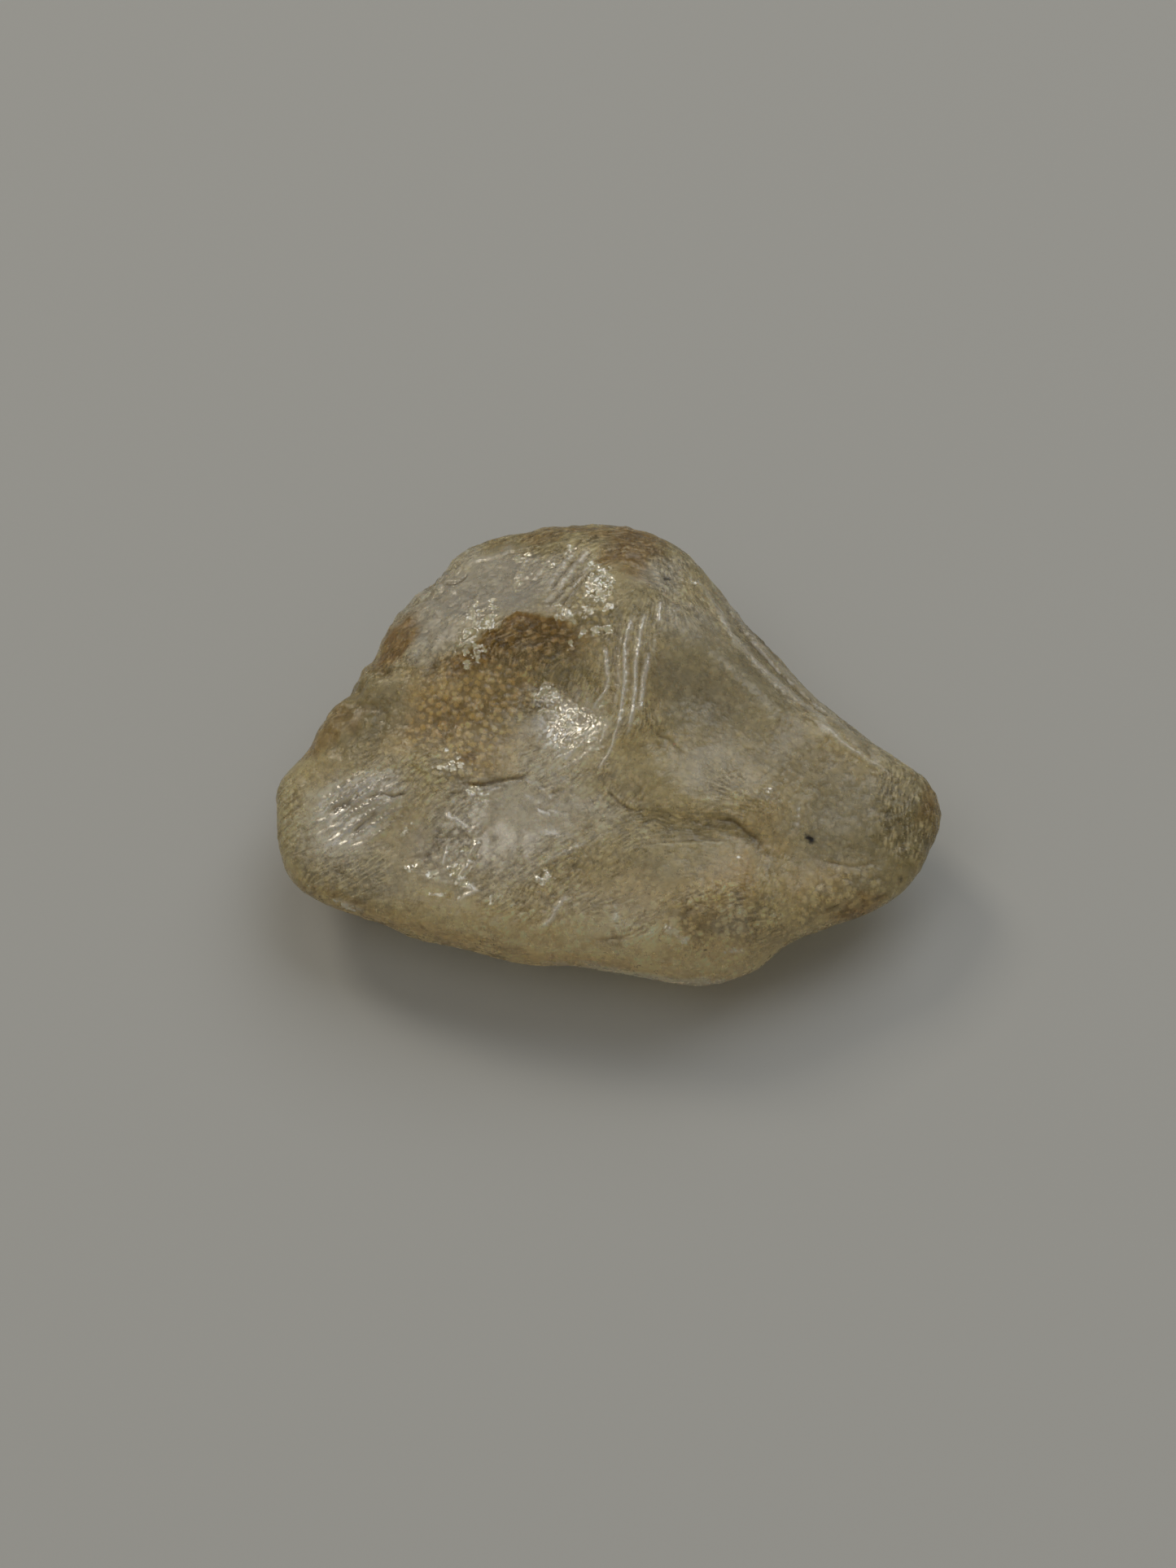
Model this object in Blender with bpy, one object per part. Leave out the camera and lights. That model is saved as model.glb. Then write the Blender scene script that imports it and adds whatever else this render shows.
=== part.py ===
"""A raw piece of amber, 40 mm long: one broken lump of resin with fracture faces, scooped scars and a worn rim.

The lump is described from a viewpoint in front of it and above it, because that is where its outline and
its faces read best. "Right" and "up" are measured across that view and "near" towards the eye, in
millimetres from the heart of the lump. A cube is cut into small squares and rounded to a ball, and each of
its corners is drawn in or out along its own ray until it meets the surface that the outline, faces, scars
and swellings describe.
"""

import math

import bmesh
import bpy
import numpy as np
from mathutils import Vector, noise

# Driving dimensions, in millimetres and degrees
LENGTH = 40.0
HEART_HEIGHT = 6.0
EYE_ELEVATION = 60.0
EYE_DISTANCE = 130.0

# Where the outline's edge lies (it leans away from the eye towards the top), and how widely it is rounded
RIM_LEAN = -0.40
RIM_ROUNDING = 7.0

# How wide the worn edge is where two surfaces meet
RIM_WEAR = 1.0
GIRDLE_WEAR = 1.8
FACE_WEAR = 0.9
EDGE_WEAR = 0.5
SCAR_WEAR = 0.35
UNDERSIDE_WEAR = 1.6

# Slow unevenness of the broken faces
SWELL_HEIGHT = 0.30
SWELL_LENGTH = 4.5
RIPPLE_HEIGHT = 0.16
RIPPLE_LENGTH = 1.6

# The rays start at the core, behind the heart. They aim at the points of an ellipsoid with these radii
# whose middle lies this far in front of the core, so that more of them reach the near side
CORE_DEPTH = 3.5
AIM_RADII = (20.0, 14.5, 8.0)
AIM_SHIFT = 4.0
CUBE_CUTS = 27
FIRST_REACH = 1.5
LAST_REACH = 26.0
HALVINGS = 24
REST_SNAP = 0.12
SHORTEST_EDGE = 0.02

TO_METRES = 0.001
SMOOTH_ANGLE = 35.0

# The look of the stone
STRAW = (0.62, 0.50, 0.26, 1.0)
FROSTING = 0.4
REFRACTION = 1.54
CLEARNESS = 0.6

# The outline as the eye sees it, anticlockwise from the right tip: (right, up)
OUTLINE = (
    (20.0, -3.0), (19.5, -1.8), (18.3, -0.9), (17.2, -0.3), (16.0, 0.7), (14.2, 1.9), (13.1, 2.8),
    (12.0, 3.9), (11.5, 4.6), (10.0, 6.0), (8.3, 7.9), (7.3, 9.1), (6.3, 10.7), (5.0, 12.1), (3.2, 13.3),
    (1.6, 13.9), (0.0, 14.1), (-2.2, 13.9), (-3.6, 13.9), (-5.0, 13.4), (-6.8, 13.1), (-8.5, 12.6),
    (-9.5, 11.7), (-10.3, 10.2), (-11.2, 9.8), (-12.5, 8.3), (-13.5, 6.9), (-13.8, 5.6), (-14.6, 5.1),
    (-15.1, 3.9), (-16.9, 2.1), (-17.8, 0.4), (-19.2, -0.9), (-19.9, -1.8), (-20.1, -3.0), (-19.8, -5.5),
    (-19.2, -7.3), (-18.0, -8.4), (-16.0, -9.1), (-14.0, -9.9), (-12.0, -10.8), (-10.0, -11.4), (-6.0, -12.3),
    (-4.0, -12.65), (-2.0, -12.55), (0.0, -12.95), (2.0, -13.5), (5.0, -14.0), (7.0, -13.9), (8.7, -13.2),
    (9.6, -12.0), (11.0, -10.9), (13.8, -10.0), (16.0, -9.3), (17.6, -8.5), (18.7, -6.9), (19.6, -5.0),
)

# Faces turned to the eye: name, a point on it (right, up, near), its slope to the right and its slope upward.
# An upward slope of -0.58 is level ground, and a larger one faces the front.
FACES = (
    ("middle", (-3.0, -10.5, 7.4), 0.02, -0.28),
    ("left", (-20.0, -3.0, 2.1), 0.295, -0.36),
    ("right", (20.0, -3.0, 1.7), -0.283, -0.36),
    ("upper left", (-4.0, 8.5, 2.2), 0.34, -1.15),
    ("shoulder", (-12.0, 7.5, -0.4), 0.60, -0.95),
    ("top", (-0.5, 9.0, 3.0), -0.45, -1.15),
    ("front apron", (-3.0, -10.7, 7.2), 0.30, 1.16),
    ("lower right", (12.0, -9.0, 5.8), -0.42, 0.68),
)

# Narrow bevels that follow the outline: name, where they start and end round the view, and how steep they are
BEVELS = (
    ("back right", -6.0, 80.0, 1.75),
)
BEVEL_FADE = 16.0
BEVEL_GONE = 4.0

# Faces of the underside: name, the way each faces (0 is +X, 90 is the back), how far from the middle it
# meets the table, and how steeply it rises from there
UNDERSIDE = (
    ("right", 0.0, 13.4, 36.0),
    ("back right", 42.0, 9.5, 52.0),
    ("back", 92.0, 9.2, 50.0),
    ("back left", 138.0, 10.5, 48.0),
    ("left", 182.0, 14.0, 36.0),
    ("front left", 228.0, 13.4, 34.0),
    ("front", 272.0, 11.6, 40.0),
    ("front right", 318.0, 12.8, 32.0),
)

# Scooped scars of older breaks: the middle of the scoop's ball (right, up, near) and its three radii
SCARS = (
    ("amber hollow", (-4.4, 5.6, 7.9), (6.6, 7.3, 6.2)),
    ("orange flank", (-10.6, 2.8, 7.2), (5.2, 4.2, 4.5)),
    ("right scar", (6.6, 4.6, 12.0), (9.0, 9.4, 9.9)),
    ("upper left scar", (-6.6, 12.0, 4.2), (4.5, 3.4, 5.4)),
    ("left dish", (-15.2, -3.4, 11.3), (6.0, 4.6, 7.9)),
    ("front dish", (-10.4, -5.0, 10.7), (3.6, 3.0, 5.5)),
)

# Rounded swellings that stand proud: the middle of the ball and its three radii
SWELLINGS = (
    ("lower lobe", (5.2, -8.0, 3.4), (5.4, 3.0, 4.2)),
    ("right nub", (17.6, -4.0, -0.4), (2.2, 3.4, 3.2)),
)

# Creases and welts: name, path across the view (right, up), width, and depth (negative stands proud)
CREASES = (
    ("lobe crease", ((-0.6, -2.3), (1.0, -3.5), (3.0, -4.1), (6.0, -4.4), (8.2, -4.9), (9.6, -6.2)), 0.8, 0.55),
    ("ledge", ((-14.8, 5.0), (-12.0, 5.2), (-10.0, 5.5), (-8.8, 6.3)), 0.5, 0.35),
    ("pleated welt", ((1.9, 9.2), (1.6, 5.5), (1.0, 1.6)), 0.9, -0.40),
    ("upper seam", ((-1.0, 13.2), (-0.6, 11.5), (0.0, 9.2)), 0.5, 0.30),
)


def eye_axes():
    """Directions across, up and towards the eye, as rows."""
    tilt = math.radians(EYE_ELEVATION)
    across = (1.0, 0.0, 0.0)
    up = (0.0, math.sin(tilt), math.cos(tilt))
    near = (0.0, -math.cos(tilt), math.sin(tilt))
    return np.array([across, up, near])


def smooth_max(first, second, width):
    """The larger of two distances, rounded over where they are less than width apart."""
    blend = np.maximum(width - np.abs(first - second), 0.0) / width
    return np.maximum(first, second) + blend * blend * width / 4.0


def closed_curve(points, steps=8):
    """Points along a smooth closed curve through the given ones."""
    knots = np.array(points)
    before, after, beyond = (np.roll(knots, shift, axis=0) for shift in (1, -1, -2))
    t = (np.arange(steps) / steps)[None, :, None]
    curve = (
        knots[:, None] * (2 - 5 * t**2 + 3 * t**3)
        + after[:, None] * (t + 4 * t**2 - 3 * t**3)
        - before[:, None] * (t - 2 * t**2 + t**3)
        - beyond[:, None] * (t**2 - t**3)
    ) / 2
    return curve.reshape(-1, 2)


def outline_radius():
    """A function from an angle round the view to the outline's distance from the heart."""
    curve = closed_curve(OUTLINE)
    angles = np.arctan2(curve[:, 1], curve[:, 0])
    radii = np.hypot(curve[:, 0], curve[:, 1])
    return lambda angle: np.interp(angle, angles, radii, period=2 * math.pi)


def above_slope(seen, point, slope_right, slope_up):
    """How far points stand above a sloping face turned to the eye."""
    height = point[2] + slope_right * (seen[:, 0] - point[0]) + slope_up * (seen[:, 1] - point[1])
    return (seen[:, 2] - height) / math.sqrt(1 + slope_right**2 + slope_up**2)


def above_bevel(seen, inset, start, end, steepness):
    """How far points stand above a bevel that rises inward from the outline."""
    angle = np.degrees(np.arctan2(seen[:, 1], seen[:, 0]))
    present = np.clip((angle - start) / BEVEL_FADE, 0, 1) * np.clip((end - angle) / BEVEL_FADE, 0, 1)
    height = RIM_LEAN * seen[:, 1] + steepness * inset + BEVEL_GONE * (1 - present)
    return (seen[:, 2] - height) / math.sqrt(1 + steepness**2)


def outside_ball(seen, middle, radii):
    """Rough distance outside an ellipsoid, negative inside it."""
    share = np.linalg.norm((seen - np.array(middle)) / np.array(radii), axis=1)
    return (share - 1.0) * min(radii)


def path_distance(seen, path):
    """Distance across the view from each point to a path of straight pieces."""
    nearest = np.full(len(seen), np.inf)
    for start, end in zip(np.array(path[:-1]), np.array(path[1:])):
        along = end - start
        share = np.clip((seen[:, :2] - start) @ along / (along @ along), 0, 1)
        away = seen[:, :2] - start - share[:, None] * along
        nearest = np.minimum(nearest, np.linalg.norm(away, axis=1))
    return nearest


def unevenness(seen):
    """Slow swells and shorter ripples of the broken surface."""
    heights = []
    for place in seen:
        swell = noise.noise(Vector(place) / SWELL_LENGTH)
        ripple = noise.noise(Vector(place) / RIPPLE_LENGTH)
        heights.append(SWELL_HEIGHT * swell + RIPPLE_HEIGHT * ripple)
    return np.array(heights)


def outline_inset(seen, radius_at):
    """How far inside the outline each point appears to the eye."""
    allowed = radius_at(np.arctan2(seen[:, 1], seen[:, 0])) * (1 - seen[:, 2] / EYE_DISTANCE)
    return allowed - np.hypot(seen[:, 0], seen[:, 1])


def outside_underside(world):
    """How far points lie outside the faces that rise from the table."""
    found = None
    for _, facing, reach, rise in UNDERSIDE:
        way, steep = math.radians(facing), math.radians(rise)
        outward = world[:, 0] * math.cos(way) + world[:, 1] * math.sin(way) - reach
        face = outward * math.sin(steep) - world[:, 2] * math.cos(steep)
        found = face if found is None else smooth_max(found, face, UNDERSIDE_WEAR)
    return found


def outside_front(seen, inset):
    """How far points stand out of the faces, swellings, scars, creases and bevels turned to the eye."""
    found = None
    for _, point, slope_right, slope_up in FACES:
        face = above_slope(seen, point, slope_right, slope_up)
        found = face if found is None else smooth_max(found, face, FACE_WEAR)
    for _, middle, radii in SWELLINGS:
        found = -smooth_max(-found, -outside_ball(seen, middle, radii), FACE_WEAR)
    for _, middle, radii in SCARS:
        found = smooth_max(found, -outside_ball(seen, middle, radii), SCAR_WEAR)
    for _, path, width, depth in CREASES:
        found = found + depth * np.exp(-((path_distance(seen, path) / width) ** 2))
    for _, start, end, steepness in BEVELS:
        found = smooth_max(found, above_bevel(seen, inset, start, end, steepness), EDGE_WEAR)
    return found


def outside_lump(seen, world, radius_at):
    """Distance outside the lump's surface in millimetres, negative inside."""
    inset = outline_inset(seen, radius_at)
    body = smooth_max(outside_front(seen, inset), outside_underside(world), GIRDLE_WEAR)
    off_rim = seen[:, 2] - RIM_LEAN * seen[:, 1]
    rim = off_rim**2 / (2 * RIM_ROUNDING) - inset
    return smooth_max(body, rim, RIM_WEAR) + unevenness(seen)


def surface_points(directions):
    """Where each ray from the core leaves the lump, in millimetres above the table."""
    axes = eye_axes()
    heart = np.array([0.0, 0.0, HEART_HEIGHT])
    core = np.array([0.0, 0.0, -CORE_DEPTH])
    radius_at = outline_radius()
    inner = np.full(len(directions), FIRST_REACH)
    outer = np.full(len(directions), LAST_REACH)
    for _ in range(HALVINGS):
        middle = (inner + outer) / 2
        seen = core + directions * middle[:, None]
        outside = outside_lump(seen, seen @ axes + heart, radius_at) > 0
        outer = np.where(outside, middle, outer)
        inner = np.where(outside, inner, middle)
    return (core + directions * inner[:, None]) @ axes + heart


def ray_directions(form):
    """A cube cut into small squares and rounded to a ball, as directions from the core."""
    bmesh.ops.create_cube(form, size=2.0)
    bmesh.ops.subdivide_edges(form, edges=form.edges[:], cuts=CUBE_CUTS, use_grid_fill=True)
    corners = np.tan(np.array([vertex.co for vertex in form.verts]) * math.pi / 4)
    ball = corners / np.linalg.norm(corners, axis=1)[:, None]
    rays = ball * np.array(AIM_RADII) + np.array([0.0, 0.0, AIM_SHIFT])
    return rays / np.linalg.norm(rays, axis=1)[:, None]


def stand_on_table(form):
    """Cuts the resting face flat, centres the piece on the origin and scales it to its length in metres."""
    everything = form.verts[:] + form.edges[:] + form.faces[:]
    bmesh.ops.bisect_plane(form, geom=everything, plane_co=(0, 0, 0), plane_no=(0, 0, 1), clear_inner=True)
    bmesh.ops.remove_doubles(form, verts=form.verts[:], dist=SHORTEST_EDGE)
    rim = [edge for edge in form.edges if edge.is_boundary]
    bmesh.ops.edgeloop_fill(form, edges=rim)
    bmesh.ops.triangulate(form, faces=form.faces[:])
    bmesh.ops.recalc_face_normals(form, faces=form.faces[:])
    places = np.array([vertex.co for vertex in form.verts])
    lowest, highest = places.min(axis=0), places.max(axis=0)
    middle = (lowest + highest) / 2
    scale = TO_METRES * LENGTH / (highest[0] - lowest[0])
    bmesh.ops.translate(form, verts=form.verts[:], vec=(-middle[0], -middle[1], 0))
    bmesh.ops.scale(form, verts=form.verts[:], vec=(scale, scale, scale))


def shape_lump(mesh):
    """Draws the ball's corners onto the lump's surface and stands it on the table."""
    form = bmesh.new()
    points = surface_points(ray_directions(form))
    points[np.abs(points[:, 2]) < REST_SNAP, 2] = 0.0
    for vertex, point in zip(form.verts, points):
        vertex.co = point
    stand_on_table(form)
    form.to_mesh(mesh)
    form.free()


def amber_material():
    """Cloudy straw-coloured resin with a slightly frosted skin."""
    material = bpy.data.materials.new("amber")
    material.use_nodes = True
    shader = material.node_tree.nodes["Principled BSDF"]
    shader.inputs["Base Color"].default_value = STRAW
    shader.inputs["Roughness"].default_value = FROSTING
    shader.inputs["Metallic"].default_value = 0.0
    shader.inputs["IOR"].default_value = REFRACTION
    shader.inputs["Transmission Weight"].default_value = CLEARNESS
    return material


def make_amber(collection):
    """The lump itself, standing on its flat resting face with its middle over the origin."""
    mesh = bpy.data.meshes.new("amber")
    shape_lump(mesh)
    mesh.materials.append(amber_material())
    mesh.shade_smooth()
    mesh.set_sharp_from_angle(angle=math.radians(SMOOTH_ANGLE))
    collection.objects.link(bpy.data.objects.new("amber", mesh))


def main():
    for old in list(bpy.data.objects):
        bpy.data.objects.remove(old, do_unlink=True)
    collection = bpy.data.collections.new("raw amber piece")
    bpy.context.scene.collection.children.link(collection)
    make_amber(collection)


main()
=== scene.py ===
"""A raw piece of amber on a pale table, seen from the front and above in soft light."""

import itertools
import math

import bmesh
import bpy
import numpy as np
from mathutils import Matrix, Vector


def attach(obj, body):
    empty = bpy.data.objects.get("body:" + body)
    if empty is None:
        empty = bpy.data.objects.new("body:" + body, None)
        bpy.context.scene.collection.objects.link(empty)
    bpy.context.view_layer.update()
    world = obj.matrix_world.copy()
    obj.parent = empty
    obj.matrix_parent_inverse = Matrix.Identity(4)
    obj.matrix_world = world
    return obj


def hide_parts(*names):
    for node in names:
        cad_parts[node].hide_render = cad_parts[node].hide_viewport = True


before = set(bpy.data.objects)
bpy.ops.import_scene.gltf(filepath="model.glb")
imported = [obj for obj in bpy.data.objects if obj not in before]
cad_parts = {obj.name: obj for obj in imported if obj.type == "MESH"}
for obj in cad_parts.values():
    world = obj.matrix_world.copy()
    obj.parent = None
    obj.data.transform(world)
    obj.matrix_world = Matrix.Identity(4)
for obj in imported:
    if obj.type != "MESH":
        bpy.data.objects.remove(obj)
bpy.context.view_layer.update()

MM = 0.001

# The eye: where it stands, what it looks at, and its lens
EYE_ELEVATION = math.radians(60.0)
EYE_TARGET = Vector((-1.19, -1.92, 4.89)) * MM
EYE_DISTANCE = 130.3 * MM
LENS = 49.5
SENSOR = 36.0

# Places on the face are read as the eye sees them, right and up, in millimetres from the lump's middle
SIGHT_LENGTH = 129.25
SIGHT_MIDDLE = (1.244, 1.634)

ACROSS = np.array((1.0, 0.0, 0.0))
UPWARD = np.array((0.0, math.sin(EYE_ELEVATION), math.cos(EYE_ELEVATION)))
TOWARDS = np.array((0.0, -math.cos(EYE_ELEVATION), math.sin(EYE_ELEVATION)))

# How the facets of the solid are worn smooth, and which of them are cut finer
SMOOTH_TIMES = 5
SMOOTH_SHARE = 0.5
SMOOTHING_LOSS = 0.06
REST_HEIGHT = 0.02
UNDERSIDE_SLOPE = -0.35
FINEST_SHARE = 0.38

# The skin's own unevenness: size of a bump across, and its height
BUMPS = ((2.4, 0.07), (1.1, 0.07), (0.55, 0.045), (0.30, 0.03))
SMOOTH_BUMPS = 0.25
PEBBLE = 0.42
PEBBLE_LEVEL = 0.6
LEAST_CRUMBLY = 0.3
PEBBLE_HEIGHT = 0.07
STREAK_HEIGHT = 0.022
STREAK_STEP = 0.12
STREAK_REACH = 1
STREAK_GRAIN = 0.21
CHIP_HEIGHT = 0.12
CHIP_DEPTH = 0.30

# The side that the eye sees fades into the hidden one where the skin leans this far away from the eye
HIDDEN_LEAN = -0.30
SEEN_LEAN = -0.02

# Uneven layers, as size across and amount: how marks stray, how glints scatter, and the hidden side's stains
WARPS = ((1.3, 1.0), (0.5, 0.6))
SHAKES = ((0.4, 1.0), (0.22, 0.6))
CLOUDS = ((5.0, 1.0), (2.2, 0.5))
RUSTS = ((6.0, 1.0), (1.8, 0.5))
BREAK_SIZE = 2.6
TURN_SIZE = 1.1
TURN_AMOUNT = 0.4
FAR_TURN_SIZE = 7.0
FAR_TURN_AMOUNT = 2.4

# A seed for each kind of unevenness
BUMP_SEED = 11
WARP_SEED = 41
SHAKE_SEED = 45
BREAK_SEED = 47
NICK_SEED = 48
CLOUD_SEED = 51
RUST_SEED = 53
FAR_TURN_SEED = 61
TURN_SEED = 62
STREAK_SEED = 63
PEBBLE_SEED = 71

# Which way the skin's streaks run: place (right, up) and turn in degrees
STREAK_TURNS = (
    ((-16.0, -3.0), 33), ((-12.0, -1.0), 36), ((-9.0, -5.0), 42), ((-6.0, -4.0), 35), ((-2.0, -6.0), 32),
    ((-4.0, -9.0), 52), ((3.0, -9.0), 35), ((-10.0, -10.0), -12), ((0.0, -12.3), -8), ((7.0, -12.5), -10),
    ((-8.0, 3.0), 62), ((-5.0, 5.0), 72), ((-11.0, 4.0), 45), ((-14.0, 2.0), 48), ((-6.0, 11.0), 60),
    ((-2.0, 10.5), 52), ((-9.0, 9.0), 68), ((-4.0, 7.3), 12), ((1.5, 5.0), 86), ((1.0, 0.0), 62),
    ((-2.0, 1.5), 40), ((5.0, 5.0), -50), ((8.0, 1.0), -48), ((10.0, 5.0), -46), ((14.0, 0.0), -40),
    ((17.0, -3.0), 78), ((12.0, -6.0), 75), ((14.0, -9.0), 24), ((5.0, -4.0), -8), ((5.0, -7.0), 12),
    ((3.0, 11.0), 80), ((1.0, 12.5), 20),
)

# Raised threads and pleats: strength, path (right, up)
THREADS = (
    (1.0, ((1.42, 8.35), (1.12, 7.4), (0.98, 6.6), (0.98, 4.5), (0.80, 3.2), (0.60, 2.0), (0.50, 1.4))),
    (1.0, ((2.17, 8.4), (1.92, 7.65), (1.74, 6.4), (1.61, 5.6), (1.55, 3.9), (1.41, 2.7), (1.17, 1.5))),
    (0.9, ((2.35, 6.0), (2.30, 5.6), (2.05, 4.5), (1.98, 3.7), (1.86, 2.7))),
    (0.8, ((-0.20, 6.5), (-0.10, 5.5), (0.0, 4.6), (-0.15, 3.9), (-0.60, 3.3), (-1.0, 2.6))),
    (0.35, ((0.72, 7.6), (0.55, 6.0), (0.60, 4.4), (0.30, 3.0))),
    (0.8, ((3.07, 9.3), (2.98, 8.0))),
    (0.5, ((2.75, 7.0), (2.65, 6.2))),
    (0.7, ((0.49, 1.7), (0.24, 0.65), (-0.10, 0.0), (-0.55, -0.65))),
    (0.5, ((-0.15, 2.0), (-0.35, 1.3), (-0.55, 0.65))),
    (0.7, ((-2.55, -8.4), (-3.1, -9.1), (-3.35, -9.7), (-4.05, -10.3))),
    (0.9, ((-9.63, -3.15), (-9.67, -3.6), (-9.1, -3.85), (-8.4, -4.4))),
    (1.0, ((-9.57, -5.3), (-9.9, -6.4))),
    (0.8, ((-7.75, -5.2), (-8.4, -5.9), (-8.3, -6.2), (-8.9, -7.3), (-8.0, -8.1), (-8.9, -8.45))),
    (0.8, ((-7.95, -1.8), (-8.1, -2.3), (-8.5, -2.7))),
    (0.7, ((-6.8, -1.9), (-7.5, -2.5))),
    (0.25, ((-4.1, -6.5), (-1.5, -5.2))),
    (0.35, ((0.42, -9.1), (0.36, -10.0))),
    (0.35, ((3.4, -10.1), (4.0, -10.6), (4.7, -11.2))),
    (0.30, ((11.45, -3.0), (11.3, -4.4))),
    (0.35, ((-12.9, -0.85), (-14.3, -1.55), (-16.4, -2.6))),
    (0.45, ((-12.6, -2.5), (-13.9, -3.1), (-14.9, -3.65), (-15.6, -4.5))),
    (0.40, ((-12.9, -1.7), (-14.6, -2.3), (-15.4, -2.9), (-16.8, -4.1))),
    (0.35, ((-13.1, -4.0), (-14.3, -4.9))),
    (0.35, ((-16.3, -8.5), (-14.6, -9.2))),
    (0.25, ((7.0, -11.5), (8.2, -11.6))),
    (0.7, ((-2.82, 0.81), (-1.66, 1.19), (-1.08, 1.58))),
    (0.5, ((-3.39, -0.25), (-2.14, 0.33), (-1.47, 1.0))),
    (0.4, ((-2.63, -0.73), (-1.66, -0.16), (-1.08, 0.52))),
    (0.45, ((-3.0, 10.0), (-2.2, 11.2), (-1.1, 12.4))),
    (0.35, ((-3.6, 10.2), (-2.9, 11.2), (-2.0, 12.2))),
    (0.40, ((-4.4, 10.6), (-3.7, 11.6), (-3.2, 12.1))),
    (0.35, ((-5.5, 10.2), (-5.3, 11.0), (-4.9, 11.8))),
    (0.45, ((-2.4, 9.7), (-1.6, 10.8), (-0.8, 11.9))),
)
THREAD_WIDTH = 0.13
THREAD_HEIGHT = 0.15

# The ridge that runs down the right side, and the thin line beside it
CRESTS = (
    ((5.4, 10.4), (6.8, 8.0), (8.2, 6.2), (10.0, 4.3), (12.4, 2.4), (13.9, 0.8), (16.8, -1.2)),
    ((6.6, 9.6), (8.6, 7.0), (10.6, 4.8), (12.9, 2.7), (14.8, 0.9)),
)
CREST_WIDTH = 0.18
CREST_HEIGHT = 0.13
# How strongly the crest takes the threads' painted highlight
CREST_SHINE = 0.3

# Cracks and seams, painted dark as their own dark and as shade in their grooves and under small ledges: path,
# half width, depth
CRACKS = (
    (((-8.55, -1.55), (-7.7, -1.65), (-6.6, -1.4), (-4.7, -1.1)), 0.10, 0.20),
    (((1.6, -5.45), (3.5, -5.15), (5.1, -5.05), (7.2, -5.1)), 0.08, 0.10),
    (((0.0, -2.1), (0.6, -2.8), (1.5, -3.3)), 0.12, 0.10),
    (((6.4, -3.7), (7.6, -3.9), (8.3, -4.5), (9.0, -5.0)), 0.12, 0.10),
    (((1.2, -1.2), (1.9, -1.9), (1.5, -2.5), (2.4, -2.7)), 0.10, 0.05),
    (((-12.1, -2.2), (-12.9, -2.35), (-13.6, -2.3), (-14.5, -2.5)), 0.09, 0.12),
    (((-13.9, -3.4), (-14.6, -3.95), (-15.3, -4.5)), 0.11, 0.15),
    (((-15.4, -2.8), (-16.0, -3.0), (-16.6, -3.3)), 0.22, 0.12),
    (((2.7, 1.7), (3.0, 1.25), (3.7, 1.0), (4.5, 0.1)), 0.07, 0.07),
    (((2.85, 0.9), (3.4, 0.5)), 0.07, 0.06),
    (((-9.0, -4.3), (-8.2, -5.0)), 0.10, 0.10),
    (((-10.4, -4.9), (-9.5, -4.9)), 0.07, 0.07),
    (((-12.2, -6.1), (-10.4, -5.9)), 0.09, 0.07),
    (((-3.4, -2.2), (-2.6, -1.9)), 0.09, 0.08),
    (((-4.2, -3.2), (-3.4, -3.05)), 0.08, 0.06),
    (((-3.1, -6.3), (-2.3, -5.5)), 0.08, 0.08),
    (((12.9, -9.3), (13.8, -8.85)), 0.10, 0.10),
    (((15.7, -8.7), (16.6, -8.25)), 0.10, 0.10),
    (((4.4, -9.5), (5.3, -8.8)), 0.08, 0.09),
    (((-0.9, -11.0), (0.9, -10.8), (2.2, -10.3)), 0.10, 0.08),
    (((-1.5, 12.9), (-2.5, 11.9)), 0.09, 0.10),
    (((-1.0, 11.5), (-1.9, 10.8), (-3.1, 9.5), (-3.75, 9.15)), 0.10, 0.12),
    (((-1.9, 11.8), (-2.75, 11.0), (-3.4, 10.1)), 0.09, 0.10),
    (((-1.0, 11.1), (-2.1, 9.9), (-2.9, 9.15)), 0.10, 0.12),
    (((-10.1, 10.25), (-9.2, 10.35), (-8.4, 10.9)), 0.10, 0.10),
    (((1.28, 8.0), (1.25, 6.5), (1.28, 4.4), (1.1, 3.0)), 0.09, 0.06),
    (((1.95, 6.0), (1.80, 4.4), (1.68, 3.0)), 0.08, 0.05),
    (((0.6, 8.1), (0.45, 6.5), (0.5, 4.5), (0.1, 3.0)), 0.15, 0.05),
    (((-14.5, 5.0), (-12.0, 5.35), (-10.0, 5.55)), 0.20, 0.05),
    (((7.0, 8.7), (9.0, 6.2), (11.0, 4.2), (13.4, 2.0)), 0.07, 0.07),
    (((12.9, -6.3), (14.6, -6.6), (16.0, -6.3)), 0.08, 0.06),
    (((8.9, -4.9), (9.6, -5.9), (9.7, -7.2)), 0.15, 0.04),
)

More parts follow.
